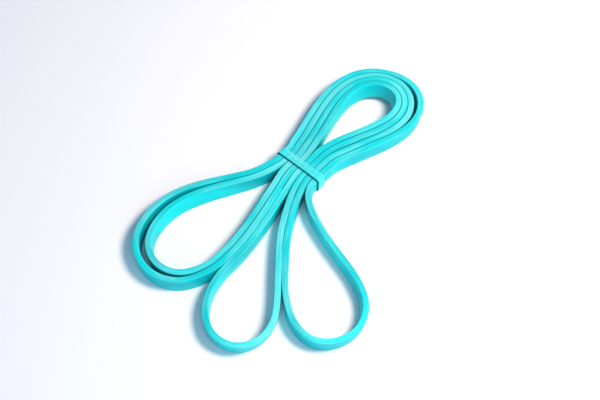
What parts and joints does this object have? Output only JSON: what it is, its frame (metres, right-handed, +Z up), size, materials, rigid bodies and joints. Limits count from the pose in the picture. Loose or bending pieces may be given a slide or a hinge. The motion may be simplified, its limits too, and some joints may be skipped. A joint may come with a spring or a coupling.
{
  "type": "resistance band",
  "caption": "Flat latex loop resistance band, folded into nested head turns and open tail loops, and tied at the waist by a thin rubber keeper.",
  "frame": {"origin": "on the rest surface, under the middle of the keeper at the tied waist", "axes": "+Y along the bundle towards the nested head turns, +X to the right, +Z up from the rest surface"},
  "size_m": [0.1712, 0.2487, 0.0131],
  "materials": {
    "latex": "satin",
    "latex_keeper": "satin"
  },
  "bodies": {
    "waist": {"waist_strand_1": "latex", "waist_strand_2": "latex", "waist_strand_3": "latex", "waist_strand_4": "latex", "waist_strand_5": "latex", "waist_strand_6": "latex", "waist_strand_7": "latex", "waist_strand_8": "latex"},
    "keeper": {"keeper": "latex_keeper"},
    "head": {"head_turn_1": "latex", "head_turn_2": "latex", "head_turn_3": "latex", "head_turn_4": "latex"},
    "left_loops": {"left_loop_outer": "latex", "left_loop_inner": "latex"},
    "middle_loop": {"middle_loop": "latex"},
    "right_loop": {"right_loop": "latex"}
  },
  "joints": [
    {"name": "keeper_slide", "type": "slide", "parent": "waist", "child": "keeper", "axis": [0, 1, 0], "range_m": [-0.0025, 0.0025]},
    {"name": "head_sway", "type": "hinge", "parent": "waist", "child": "head", "pos_m": [0, 0, 0], "axis": [0, 0, 1], "range_deg": [-10, 10], "stiffness_Nm_per_rad": 0.05},
    {"name": "left_sway", "type": "hinge", "parent": "waist", "child": "left_loops", "pos_m": [-0.0094, 0, 0], "axis": [0, 0, 1], "range_deg": [-15, 0], "stiffness_Nm_per_rad": 0.05},
    {"name": "middle_sway", "type": "hinge", "parent": "waist", "child": "middle_loop", "pos_m": [0.0094, 0, 0], "axis": [0, 0, 1], "range_deg": [0, 7.5], "stiffness_Nm_per_rad": 0.05},
    {"name": "right_sway", "type": "hinge", "parent": "waist", "child": "right_loop", "pos_m": [0.0094, 0, 0], "axis": [0, 0, 1], "range_deg": [0, 15], "stiffness_Nm_per_rad": 0.05}
  ],
  "couplings": [
    {"joint": "middle_sway", "follows": "right_sway", "ratio": 0.5}
  ]
}
